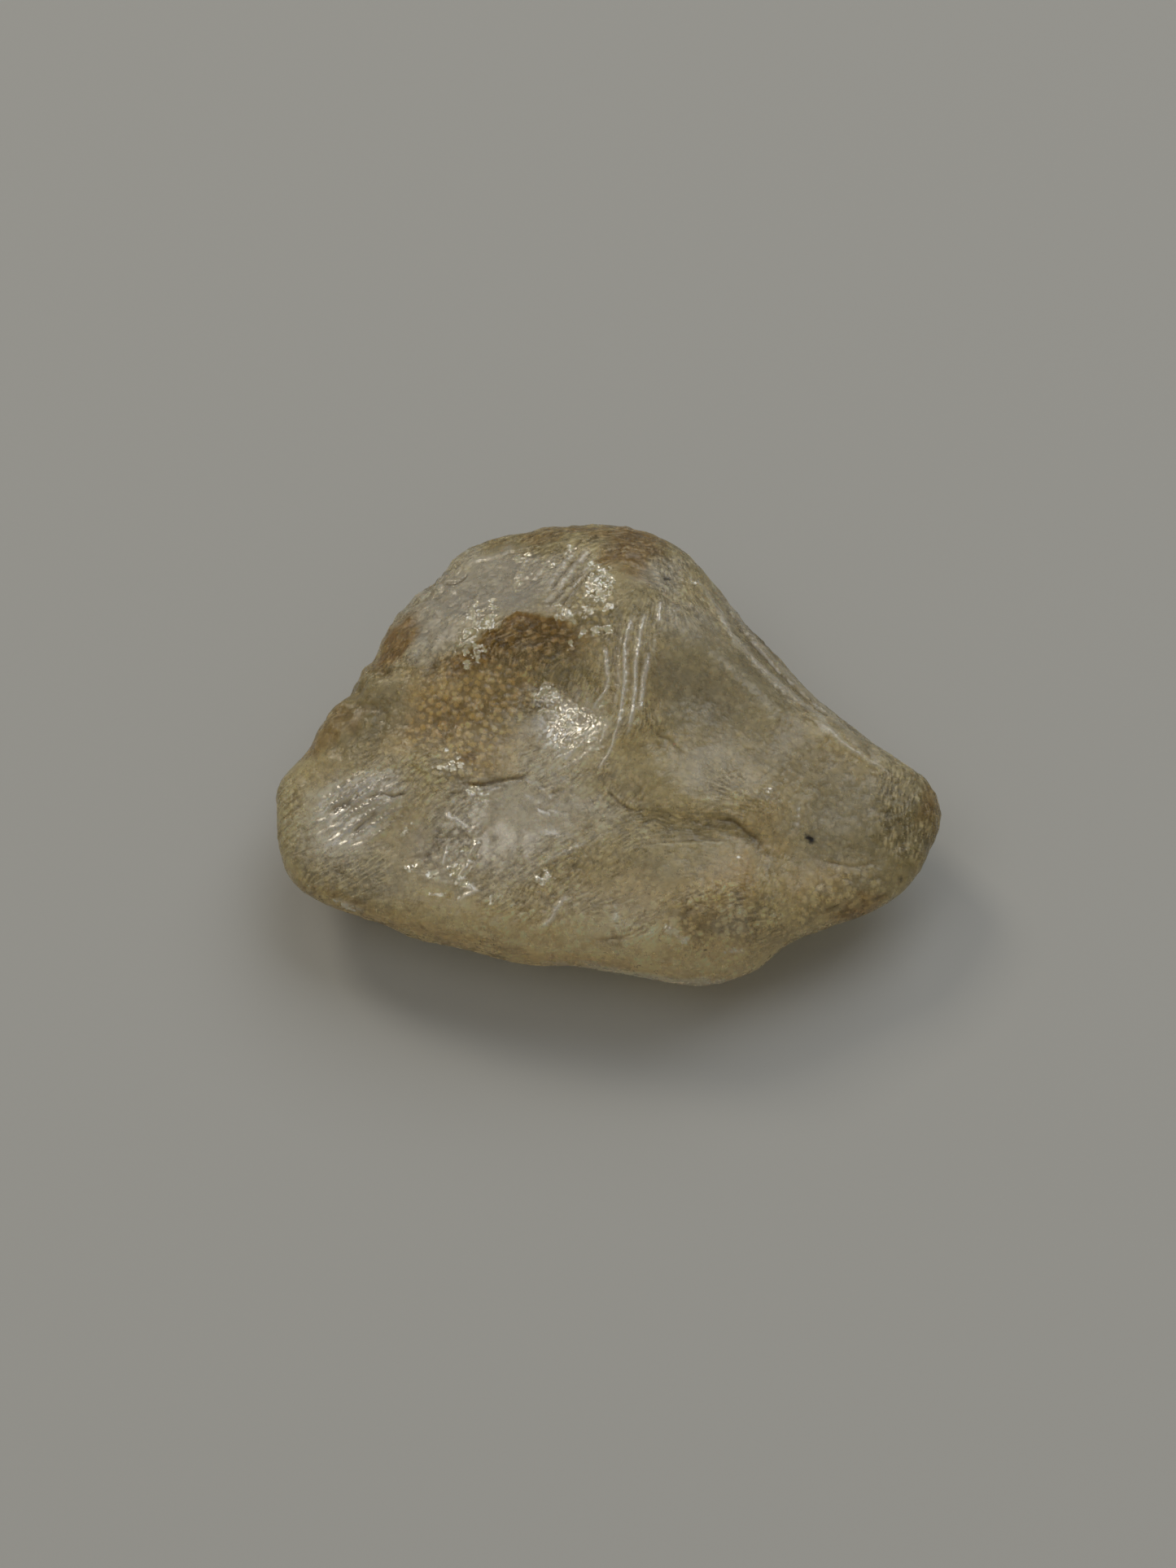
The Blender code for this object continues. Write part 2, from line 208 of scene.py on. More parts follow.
# Ledges, whose left side stands higher: path, how far back the raised side runs, height
LEDGES = (
    (((-9.6, 5.6), (-8.6, 6.2), (-7.4, 7.0), (-6.2, 8.0), (-5.4, 8.5), (-4.0, 8.45), (-2.2, 8.0)), 1.6, 0.28),
    (((7.6, -5.3), (5.1, -5.0), (3.5, -5.15), (1.6, -5.5)), 2.0, 0.30),
    (((8.6, -4.9), (7.2, -3.6), (5.6, -3.4), (2.8, -3.3), (1.2, -3.0), (0.0, -2.0)), -1.8, 0.05),
    (((-10.6, 9.6), (-8.8, 11.2), (-6.0, 12.1), (-2.5, 12.7), (0.2, 12.6)), 0.9, 0.14),
    (((0.6, 13.2), (0.9, 11.6), (1.7, 11.2), (2.6, 12.2)), 1.2, 0.16),
    (((-17.6, -0.4), (-14.6, -0.6), (-11.6, -0.6), (-9.8, -1.6)), 1.6, 0.12),
    (((-6.4, -7.6), (-4.1, -6.4), (-1.5, -5.1), (0.6, -3.9)), -1.8, 0.14),
    (((-8.2, -6.4), (-9.4, -7.4), (-11.4, -6.9), (-12.6, -6.5)), 1.2, 0.12),
    (((-15.0, 4.9), (-12.0, 5.3), (-10.0, 5.5)), 1.4, 0.16),
    (((-7.4, -3.2), (-8.4, -4.5), (-9.2, -4.0), (-9.8, -3.3)), 1.1, 0.12),
    (((-13.0, -9.3), (-8.0, -10.6), (-3.0, -11.6), (1.0, -11.9), (5.4, -12.6), (8.2, -12.4)), 1.6, 0.12),
    (((2.8, 9.6), (2.5, 8.0), (2.7, 6.2), (3.4, 4.4)), -1.0, 0.10),
    (((8.9, -4.6), (9.6, -5.9), (9.4, -7.6), (10.4, -9.4)), 1.4, 0.12),
)

# Places where the skin is smooth: middle (right, up), half sizes, turn in degrees, how smooth
SMOOTH_PLACES = (
    ((6.4, 3.6), (6.4, 4.6), -42, 1.0),
    ((-2.1, 1.8), (2.6, 1.9), 30, 1.0),
    ((2.8, -0.8), (3.6, 3.0), -20, 0.9),
    ((12.0, -1.2), (5.4, 3.4), -40, 0.85),
    ((12.0, -5.6), (6.0, 4.0), -10, 0.7),
    ((4.0, -6.7), (4.2, 2.0), 5, 0.9),
    ((-6.0, -4.0), (3.4, 1.8), 20, 0.5),
    ((6.2, -12.0), (2.6, 1.4), 0, 0.6),
    ((-9.8, 8.6), (2.6, 1.6), 40, 0.6),
    ((-8.0, -9.8), (7.0, 1.2), -14, 0.6),
    ((1.6, -12.2), (8.0, 1.8), -8, 0.85),
)

# Crumbly places: middle (right, up), half sizes, turn in degrees, strength
CRUMBLY = (
    ((-8.0, 2.4), (6.0, 3.6), 20, 1.0),
    ((-5.2, 6.4), (4.6, 2.6), 20, 1.0),
    ((-9.4, 5.6), (2.6, 1.4), 35, 1.0),
    ((-1.2, 9.2), (2.6, 2.4), 20, 0.9),
    ((-8.6, -1.0), (3.4, 1.8), -10, 0.9),
    ((-2.3, 1.6), (2.8, 2.2), 30, 0.35),
    ((-9.0, -6.4), (4.2, 2.2), -10, 0.6),
    ((3.0, 11.0), (2.4, 1.6), -20, 0.7),
    ((6.6, -9.6), (4.4, 2.4), 0, 0.95),
    ((14.0, -8.4), (4.4, 1.6), 20, 0.8),
    ((1.6, -2.6), (2.2, 1.0), -20, 0.5),
)

# The nicked edge on the upper left: middle (right, up), half sizes, turn in degrees
NICKED = ((-13.2, 5.6), (9.5, 2.6), 56)
NICK_SIZE = 0.8
NICK_HEIGHT = 0.24

# Places that shine: middle (right, up), half sizes, turn in degrees, strength
GLOSSY = (
    ((-2.3, 1.9), (2.8, 2.0), 35, 1.0),
    ((-3.8, 3.5), (1.1, 1.0), 0, 1.0),
    ((-15.0, -3.1), (3.8, 2.6), 33, 0.8),
    ((-6.0, -4.0), (5.5, 3.2), 20, 0.62),
    ((-6.5, 10.2), (5.0, 3.0), 10, 0.2),
)

# Crumbled patches that sparkle: middle (right, up), half sizes, turn in degrees, how dense
SPARKLES = (
    ((-8.25, 7.4), (0.52, 1.55), -14, 1.0),
    ((-7.85, 6.3), (0.35, 0.6), -35, 0.7),
    ((-7.05, 8.2), (0.28, 1.15), -4, 1.0),
    ((-0.55, 10.4), (0.75, 1.05), 0, 0.9),
    ((-1.45, 8.7), (0.45, 0.35), 30, 0.7),
    ((-2.6, 8.5), (0.75, 0.50), -40, 0.7),
    ((0.05, 8.95), (0.34, 0.26), 0, 0.85),
    ((-0.35, 7.62), (0.75, 0.30), 5, 0.8),
    ((-0.25, 6.15), (0.16, 0.45), 0, 0.8),
    ((-1.9, 7.1), (0.55, 0.18), 45, 0.75),
    ((-2.2, 6.5), (0.35, 0.16), 20, 0.7),
    ((-3.7, 3.55), (0.75, 0.75), 0, 0.75),
    ((-1.8, 1.9), (1.4, 1.0), 30, 0.4),
    ((-0.9, 0.9), (1.0, 0.7), 30, 0.35),
    ((-5.3, 11.8), (0.6, 0.35), 0, 0.5),
    ((-5.45, 10.4), (0.3, 0.85), 0, 0.5),
    ((-3.4, 11.3), (0.4, 0.35), 0, 0.5),
    ((-2.4, 12.3), (0.4, 0.5), 0, 0.45),
    ((-7.9, -2.2), (0.8, 0.4), -20, 0.9),
    ((-8.2, -5.6), (0.65, 0.42), 45, 1.0),
    ((-8.7, -7.1), (0.36, 0.95), -10, 1.0),
    ((-9.4, -6.7), (0.4, 0.35), 0, 1.0),
    ((-11.8, -6.7), (0.62, 0.22), 5, 0.55),
    ((-10.8, -7.0), (0.5, 0.22), -15, 0.6),
    ((-10.4, -8.3), (0.75, 0.16), -5, 0.55),
    ((-12.0, -4.2), (0.25, 0.7), -25, 0.45),
    ((-7.05, -8.6), (0.10, 0.45), 0, 0.75),
    ((-7.4, -8.9), (0.22, 0.22), 0, 0.6),
    ((-3.95, -7.35), (0.55, 0.42), 30, 1.0),
    ((4.1, -10.7), (0.85, 0.25), -38, 0.6),
    ((0.4, -9.6), (0.14, 0.7), 0, 0.4),
    ((7.8, -6.1), (0.25, 0.2), 0, 0.3),
    ((-16.0, -8.75), (0.75, 0.16), -28, 0.8),
    ((5.0, 10.5), (0.42, 0.3), -35, 0.65),
    ((9.7, -2.05), (0.65, 0.22), 10, 0.22),
    ((-9.3, -0.5), (1.2, 0.6), -15, 0.28),
    ((7.4, -11.6), (0.45, 0.14), 10, 0.45),
)

# Ribbed places: middle (right, up), half sizes, turn of the ribs in degrees, spacing, height
RIBS = (
    ((-15.0, -3.2), (4.2, 2.9), 34, 0.58, 0.20),
    ((-2.4, 10.9), (2.6, 1.9), 52, 0.55, 0.15),
    ((-19.3, -5.0), (1.0, 3.2), 100, 0.45, 0.05),
    ((-2.6, 1.2), (2.2, 2.0), 46, 0.36, 0.07),
    ((-7.6, 3.6), (2.6, 1.8), 66, 0.50, 0.05),
)
# The ribs' sides are painted lighter and darker, as light and shade across each rib
RIB_SHADE = 2.6
RIB_WOBBLE = 0.13

# The stone's tints
TINTS = {
    "straw": (0.77, 0.67, 0.39),
    "amber": (0.78, 0.58, 0.25),
    "clay": (0.70, 0.56, 0.30),
    "rust": (0.38, 0.22, 0.035),
    "soot": (0.16, 0.14, 0.09),
    "moss": (0.45, 0.385, 0.185),
    "olive": (0.55, 0.51, 0.36),
    # veil is a milky veil on the hidden side, and painted sheen where it lies on the side the eye sees
    "veil_and_sheen": (0.88, 0.84, 0.72),
    "haze": (0.70, 0.68, 0.61),
    # glow is painted light: the glow where light comes through the thin lower edge
    "glow": (1.0, 0.84, 0.51),
    # pale paints light: the highlight in the hollow, sheen on the middle and the left dish, a glint, the
    # shine along the crest and a thin glow along the lower edge
    "pale": (0.98, 0.93, 0.76),
}

# Stains, and painted highlight, sheen, glow and shade: tint, middle (right, up), half sizes, turn in degrees,
# strength
STAINS = (
    # Painted sheen on the level middle
    ("veil_and_sheen", (-6.0, -4.0), (7.5, 4.0), 20, 0.75),
    # Painted sheen on the ribbed dish at the left
    ("pale", (-15.3, -3.2), (3.8, 2.6), 33, 0.8),
    ("olive", (4.4, -6.4), (3.4, 1.4), 8, 0.45),
    ("haze", (-6.2, 10.4), (4.6, 2.6), 10, 0.9),
    ("haze", (-10.2, 8.2), (3.2, 2.4), 40, 0.9),
    ("haze", (3.0, 10.9), (2.0, 1.6), -30, 0.75),
    ("haze", (4.6, 7.9), (1.9, 1.3), -30, 0.75),
    ("haze", (6.4, -1.0), (2.6, 1.8), -20, 0.45),
    # Painted sheen beside the middle
    ("veil_and_sheen", (-10.0, -5.0), (2.4, 1.8), 20, 0.4),
    ("clay", (2.4, -9.4), (6.5, 2.6), -8, 0.7),
    # Painted glow along the lower front
    ("glow", (-8.5, -9.6), (8.0, 1.5), -14, 0.6),
    ("clay", (9.6, -4.6), (2.2, 2.0), 0, 0.5),
    ("olive", (14.5, -4.6), (4.0, 4.4), 0, 0.75),
    ("moss", (17.4, -4.8), (3.0, 3.6), 0, 0.7),
    ("amber", (-9.8, 2.8), (5.0, 2.8), 18, 1.0),
    ("amber", (-6.4, 4.2), (3.6, 2.2), 25, 0.85),
    ("amber", (-6.6, 0.4), (3.2, 1.4), 5, 0.7),
    ("amber", (7.0, -7.6), (2.6, 1.6), 20, 0.75),
    ("amber", (12.6, -7.6), (3.2, 1.6), 15, 0.5),
    # Painted glow where light comes through the lower edge
    ("glow", (1.0, -11.9), (9.5, 2.2), -8, 1.0),
    ("glow", (6.2, -12.4), (3.4, 2.0), -5, 1.0),
    ("glow", (2.4, -12.2), (7.5, 2.0), -8, 1.0),
    ("pale", (0.4, -9.4), (4.5, 2.2), -10, 0.4),
    ("olive", (5.6, 4.4), (4.2, 3.4), -35, 0.85),
    ("olive", (10.5, 0.8), (3.6, 2.4), -38, 0.55),
    ("olive", (-15.4, -6.8), (4.0, 2.2), -20, 0.9),
    ("moss", (-16.4, -7.4), (3.0, 1.4), -30, 0.4),
    ("olive", (1.6, 8.0), (2.2, 2.6), 10, 0.6),
    ("olive", (9.2, 4.9), (3.4, 1.5), -45, 1.0),
    ("moss", (9.8, 4.7), (4.0, 1.0), -45, 0.45),
    ("moss", (-14.3, 2.5), (2.4, 3.0), -42, 1.0),
    ("moss", (-14.3, 2.5), (1.8, 2.2), -42, 0.5),
    ("moss", (-2.5, 5.2), (2.1, 1.1), 5, 0.7),
    # Darker along the crease above the lower lobe: painted shade
    ("moss", (5.2, -4.15), (4.0, 0.95), -6, 0.75),
    ("moss", (8.2, -4.4), (1.4, 0.8), -35, 0.6),
    ("moss", (18.2, -3.6), (2.4, 3.4), 0, 1.0),
    ("moss", (2.5, 12.9), (4.0, 1.5), -24, 1.0),
    ("moss", (-3.0, 13.2), (6.0, 1.2), 4, 1.0),
    ("moss", (1.4, 9.2), (2.4, 0.6), 10, 0.6),
    # Brown stain along the brow, darker also as painted shade on the steep wall below its edge
    ("rust", (-4.1, 7.2), (3.1, 1.5), 8, 0.85),
    ("rust", (-6.9, 6.6), (2.3, 0.9), 38, 0.75),
    ("rust", (-9.6, 5.4), (1.6, 0.8), 20, 0.4),
    ("rust", (-12.7, 6.7), (0.9, 2.4), -35, 1.0),
    ("rust", (1.3, 12.5), (1.9, 1.9), -15, 1.0),
    ("soot", (1.1, 12.9), (1.8, 1.1), -15, 0.28),
    ("soot", (18.2, -3.4), (2.4, 3.0), 0, 0.18),
    ("soot", (10.2, 4.9), (3.4, 1.0), -45, 0.22),
    ("soot", (-14.3, 2.6), (2.2, 2.8), -42, 0.14),
    ("rust", (-2.0, 13.5), (6.0, 0.5), 4, 0.5),
    ("rust", (-16.8, 1.6), (0.9, 2.6), -42, 0.55),
    ("rust", (-14.1, 5.4), (1.3, 0.5), 20, 0.45),
    ("rust", (-8.5, 0.0), (0.45, 0.32), 0, 0.8),
    # Painted brown shadow under the crack's ledge
    ("rust", (-8.1, -1.45), (0.7, 0.2), 5, 0.7),
    ("rust", (14.6, -9.2), (2.0, 0.6), 22, 0.7),
    ("rust", (19.3, -2.9), (0.8, 1.4), 0, 0.6),
    ("rust", (-8.9, 2.6), (1.0, 0.5), 10, 0.3),
    ("rust", (8.0, -7.0), (1.0, 0.8), 0, 0.25),
    # Painted highlight in the hollow, where the lamp's reflection falls
    ("pale", (-2.1, 1.8), (2.6, 2.0), 35, 1.0),
    ("pale", (-3.8, 3.5), (1.2, 1.1), 0, 0.6),
    ("pale", (-3.6, 0.8), (3.0, 1.8), 25, 0.6),
    # Painted sheen on the middle and on the left dish
    ("pale", (-6.0, -3.6), (3.8, 1.8), 15, 0.45),
    ("pale", (-15.2, -3.2), (3.8, 2.4), 33, 1.0),
    # Painted glint
    ("pale", (9.7, -2.0), (1.0, 0.5), 0, 0.35),
    ("pale", (7.3, -9.8), (1.0, 1.2), 0, 0.55),
    # Painted glow that lightens a darker spot above the lower rim
    ("glow", (5.9, -8.8), (1.6, 1.1), 0, 0.6),
)

# Tinted strips along a line: tint, path (right, up), reach to its left side, reach to its right, strength
STRIPS = (
    # Brown stain under the brow's edge, partly painted shade of the steep wall below it
    ("rust", ((-10.2, 5.2), (-8.8, 6.0), (-7.4, 6.9), (-6.2, 8.0), (-5.4, 8.5), (-4.0, 8.45), (-2.2, 8.0)),
     0.15, 1.6, 0.9),
    ("moss", ((-2.2, 8.0), (-1.0, 8.4), (0.4, 8.9), (2.2, 9.3)), 0.3, 1.0, 0.6),
    ("olive", ((5.6, 10.6), (7.0, 8.4), (8.6, 6.4), (10.4, 4.7), (12.8, 2.7), (14.4, 1.2), (17.0, -0.9)),
     1.8, 0.4, 0.9),
    ("moss", ((7.4, 8.2), (9.0, 6.2), (10.8, 4.6), (13.0, 2.7), (14.6, 1.4)), 1.2, 0.6, 0.6),
    # Painted highlight along the crest
    ("pale", ((5.4, 10.4), (6.8, 8.0), (8.2, 6.2), (10.0, 4.3), (12.4, 2.4), (13.9, 0.8), (16.8, -1.2)),
     0.30, 0.30, 0.5),
    ("moss", ((4.2, 12.9), (5.8, 11.4), (7.2, 9.6), (8.4, 7.9), (9.6, 6.5)), 0.9, 0.5, 0.55),
    ("amber", ((-19.6, -6.6), (-18.0, -8.2), (-14.0, -9.7), (-6.0, -12.1), (0.0, -12.8), (4.0, -13.8),
     (8.4, -13.7)), 1.0, 0.8, 0.45),
    ("soot", ((5.2, 12.0), (6.6, 10.4), (7.6, 8.9), (8.8, 7.4), (10.0, 6.1)), 0.5, 0.22, 0.75),
    # Painted glow: a thin bright line along the lowest edge
    ("pale", ((-3.8, -12.55), (0.0, -12.95), (2.0, -13.4), (6.5, -13.95), (8.4, -13.6)), 0.55, 0.6, 0.9),
)

# Dark specks of dirt that lie in the skin: middle (right, up), half sizes, turn in degrees
SPECKS = (
    ((12.05, -4.95), (0.40, 0.22), -38.0),
    ((17.45, -7.27), (0.15, 0.14), 0.0),
    ((5.80, -11.55), (0.12, 0.09), 0.0),
    ((3.50, 10.65), (0.16, 0.08), 10.0),
)

# The patterns inside the material, in cells to the millimetre
MOTTLE_CELLS = 1.0
GRAIN_CELLS = 3.6
FIBRE_CELLS = 6.5
FLAKE_CELLS = 2.5
BEND_CELLS = 2.0
VEIN_CELLS = 0.8
VEINED_CELLS = 0.4

# Fibres are noise drawn out along the skin by so many steps each way, and flakes are bent, in millimetres
FIBRE_STEP = 0.09
FIBRE_REACH = 2
BEND = 0.35

# How much darker and lighter each pattern makes the stone
CLOUD_SHADES = (-0.22, 0.20)
CRUMB_SHADES = (-0.36, 0.19)
GRAIN_SHADES = (0.87, 1.10)
FIBRE_SHADES = (-0.30, 0.26)
FLAKE_SHADES = (-0.09, 0.09)

# How strongly the marks are tinted, and with what
PALE_CRUMB = 0.42
# Light fibres are partly painted sheen
PALE_FIBRE_AND_SHEEN = 0.36
VEINED = 0.5
# Cracks are painted dark, partly as shade in their grooves
CRACK_DARK_AND_SHADE = 0.75
# The threads and the crest are painted pale as a highlight along their ridges
THREAD_HIGHLIGHT = 0.9
MARKS = {
    "crumb": (0.92, 0.78, 0.50, 1),
    "fibre": (0.92, 0.84, 0.64, 1),
    "vein": (0.17, 0.13, 0.06, 1),
    "crack": (0.12, 0.085, 0.035, 1),
    "thread": (1.0, 0.95, 0.82, 1),
    # Chips are painted pale, partly as their own frosted colour and partly as a painted glint
    "chip_and_glint": (1.0, 0.90, 0.66, 1),
    "dirt": (0.004, 0.0035, 0.003, 1),
}

# How deep the fine relief is, in millimetres, and each pattern's share in it
RELIEF_DEPTH = 0.08
MOTTLE_RELIEF = 0.6
FIBRE_RELIEF = 2.0
GRAIN_RELIEF = 0.35
CRUMB_RELIEF = 0.45
RIB_RELIEF = 8.0
FLAKE_RELIEF = 12.0
CRUMBLY_TILT = 0.45

# The resin: how it shines, how far light spreads in it in millimetres, and the colour that comes through
POLISHED = 0.20
FROSTED = 0.36
CHIP_POLISH = 0.12
REFRACTION = 1.54
CLEARNESS = 0.6
SCATTER_COLOUR = (1.0, 0.85, 0.62)
SCATTER_DEPTH = 5.0
GLAZE_ROUGHNESS = 0.17
GLAZE_REFRACTION = 2.7
RESIN_COLOUR = (0.95, 0.80, 0.40, 1)
RESIN_DENSITY = 14.0

# The table, just under the stone: its size in metres, the gap in millimetres, and its paper
TABLE_SIZE = 4.0
TABLE_GAP = 0.02
PAPER = (0.445, 0.457, 0.460, 1)
PAPER_ROUGHNESS = 0.85
PAPER_SHINE = 0.2

# The surroundings, and the lights: name, place and size in metres, power in watts, colour
ROOM_COLOUR = (1.0, 0.93, 0.80, 1)
ROOM_STRENGTH = 0.24
LIGHTS = (
    ("window behind", (0.46, 0.80, 1.10), 1.1, 6.35, (0.98, 1.0, 1.01)),
    ("lamp at the left", (-0.70, 0.82, 0.94), 0.38, 3.8, (1.0, 0.89, 0.71)),
    ("ceiling glow", (-0.55, -0.08, 1.08), 0.7, 1.45, (1.0, 0.95, 0.87)),
)


def as_seen(points):
    """Where points in millimetres appear to the eye: (right, up), as columns."""
    eye = np.array(EYE_TARGET) / MM + TOWARDS * EYE_DISTANCE / MM
    away = points - eye
    depth = -away @ TOWARDS
    right = SIGHT_LENGTH * (away @ ACROSS) / depth - SIGHT_MIDDLE[0]
    up = SIGHT_LENGTH * (away @ UPWARD) / depth - SIGHT_MIDDLE[1]
    return np.stack([right, up], axis=1)


def path_distance(seen, path):
    """Distance of each place from a path, how far along it the nearest point is, and the side: 1 is left."""
    corners = np.array(path)
    lengths = np.linalg.norm(np.diff(corners, axis=0), axis=1)
    passed = np.concatenate([[0.0], np.cumsum(lengths)]) / lengths.sum()
    nearest = np.full(len(seen), np.inf)
    along = np.zeros(len(seen))
    side = np.ones(len(seen))
    for index, length in enumerate(lengths):
        start, run = corners[index], corners[index + 1] - corners[index]
        offset = seen - start
        share = np.clip(offset @ run / length**2, 0, 1)
        away = np.linalg.norm(offset - share[:, None] * run, axis=1)
        closer = away < nearest
        nearest = np.where(closer, away, nearest)
        along = np.where(closer, passed[index] + share * (passed[index + 1] - passed[index]), along)
        side = np.where(closer, np.sign(run[0] * offset[:, 1] - run[1] * offset[:, 0]), side)
    return nearest, along, side


def oval(seen, middle, half, turn):
    """1 at the middle of a turned oval, 0 on its edge and negative outside."""
    angle = math.radians(turn)
    away = seen - np.array(middle)
    across = away[:, 0] * math.cos(angle) + away[:, 1] * math.sin(angle)
    upward = -away[:, 0] * math.sin(angle) + away[:, 1] * math.cos(angle)
    return 1.0 - np.hypot(across / half[0], upward / half[1])


def ease(value, low, high):
    """0 below low, 1 above high and a smooth rise between."""
    share = np.clip((value - low) / (high - low), 0, 1)
    return share * share * (3 - 2 * share)


def cell_number(cells, seed):
    """A random number from -1 to 1 that belongs to each whole-number cell."""
    x, y, z = cells.astype(np.int64).T
    mixed = x * 73856093 ^ y * 19349663 ^ z * 83492791 ^ seed * 40503
    mixed = (mixed ^ mixed >> 13) * 1274126177 & 0xFFFFFFFF
    mixed = (mixed ^ mixed >> 15) * 2246822519 & 0xFFFFFFFF
    return (mixed >> 8) / 0x7FFFFF - 1.0


def soft_noise(points, size, seed):
    """Smooth noise of about this size, from -1 to 1, at points in millimetres."""
    scaled = points / size + seed * 5.37
    cell = np.floor(scaled)
    share = scaled - cell
    share = share * share * (3 - 2 * share)
    total = np.zeros(len(points))
    for corner in itertools.product((0, 1), repeat=3):
        weight = np.prod(np.where(corner, share, 1 - share), axis=1)
        total += weight * cell_number(cell + corner, seed)
    return total


def layered(points, layers, seed, step=1):
    """Soft noises added up, each layer with its own size, amount and seed."""
    seeds = itertools.count(seed, step)
    return sum(amount * soft_noise(points, size, own) for (size, amount), own in zip(layers, seeds))


def pebbles(points, size, seed):
    """Packed rounded pebbles: 1 on their tops and 0 in the gaps between them."""
    scaled = points / size
    cell = np.floor(scaled)
    first = np.full(len(points), np.inf)
    second = first.copy()
    for step in itertools.product((-1, 0, 1), repeat=3):
        corner = cell + step
        stray = np.stack([cell_number(corner, seed + axis) for axis in range(3)], axis=1)
        middle = corner + 0.5 + 0.45 * stray
        away = np.linalg.norm(scaled - middle, axis=1)
        second = np.minimum(second, np.maximum(first, away))
        first = np.minimum(first, away)
    return ease(second - first, 0.0, 0.45)


def streak_run(points, normals, seen, facing):
    """The direction along the skin in which its streaks run at each point."""
    weights = np.stack([1 / (0.6 + np.sum((seen - place) ** 2, axis=1)) ** 2 for place, _ in STREAK_TURNS])
    doubled = 2 * np.radians([turn for _, turn in STREAK_TURNS])
    turn = 0.5 * np.arctan2(np.sin(doubled) @ weights, np.cos(doubled) @ weights)
    far_turn = FAR_TURN_AMOUNT * soft_noise(points, FAR_TURN_SIZE, FAR_TURN_SEED)
    turn = turn * facing + far_turn * (1 - facing) + TURN_AMOUNT * soft_noise(points, TURN_SIZE, TURN_SEED)
    along = np.cos(turn)[:, None] * ACROSS + np.sin(turn)[:, None] * UPWARD
    along -= np.sum(along * normals, axis=1)[:, None] * normals
    return along / np.maximum(np.linalg.norm(along, axis=1), 0.3)[:, None]


def streaks(points, run):
    """Fine streaks that follow the skin's own direction, from about -1 to 1."""
    steps = range(-STREAK_REACH, STREAK_REACH + 1)
    total = sum(soft_noise(points + step * STREAK_STEP * run, STREAK_GRAIN, STREAK_SEED) for step in steps)
    return np.clip(total / len(steps) * 3.0, -1.3, 1.3)


def ribs(seen, wobble):
    """Which rib each point is on, in ribs and parts of one, and how high the ribs stand there."""
    place = np.zeros(len(seen))
    height = np.zeros(len(seen))
    for middle, half, turn, spacing, tall in RIBS:
        angle = math.radians(turn)
        across = -seen[:, 0] * math.sin(angle) + seen[:, 1] * math.cos(angle)
        found = tall * ease(oval(seen, middle, half, turn), 0.0, 0.5)
        place = np.where(found > height, (across + RIB_WOBBLE * wobble) / spacing, place)
        height = np.maximum(height, found)
    return place, height


def saw(place):
    """The shape across a rib, with a gentle and a steep side."""
    return (place - np.floor(place)) ** 1.6 - 0.4


def ledge_height(seen, facing, warp):
    """How high the ledges lift each point."""
    height = np.zeros(len(seen))
    for path, reach, tall in LEDGES:
        away, along, side = path_distance(seen + 0.15 * warp, path)
        back = np.clip(1 - away / abs(reach), 0, 1) ** 2
        fade = np.minimum(1.0, 5 * np.minimum(along, 1 - along))
        height += tall * fade * back * ease(side * np.sign(reach) * away, -0.05, 0.08)
    return height * facing


def line_strength(seen, path, width):
    """1 along the middle of a thin line, fading beside it and towards its ends."""
    away, along, _ = path_distance(seen, path)
    return np.minimum(1.0, 7 * np.minimum(along, 1 - along) + 0.2) * np.exp(-((away / width) ** 2))


def line_masks(seen, facing, warp):
    """How strongly each point lies on a thread, on a crest and in a crack, and how deep the cracks are."""
    shaken = seen + 0.09 * warp
    calm = seen + 0.025 * warp
    threads = [strength * line_strength(calm, path, THREAD_WIDTH) for strength, path in THREADS]
    thread = np.max(threads, axis=0)
    crest = np.max([line_strength(shaken, path, CREST_WIDTH) for path in CRESTS], axis=0)
    crack = np.zeros(len(seen))
    depth = np.zeros(len(seen))
    for path, width, deep in CRACKS:
        found = line_strength(shaken, path, width)
        crack = np.maximum(crack, found * min(1.0, deep / 0.12))
        depth = np.maximum(depth, found * deep)
    return thread * facing, crest * facing, crack * facing, depth * facing


def places_share(seen, places, edge):
    """How strongly each point lies in any of the places, which fade over this share of their size."""
    found = [share * ease(oval(seen, middle, half, turn), 0.0, edge) for middle, half, turn, share in places]
    return np.max(found, axis=0)


def sparkle_mask(seen, facing, shake):
    """How strongly each point lies in a crumbled patch."""
    found = np.zeros(len(seen))
    for middle, half, turn, dense in SPARKLES:
        found = np.maximum(found, dense * ease(oval(seen, middle, half, turn) + 0.8 * shake, 0.0, 0.3))
    return found * facing


def blend(colour, tint, share):
    """The colours moved towards a tint."""
    return colour + (np.array(TINTS[tint]) - colour) * share[:, None]


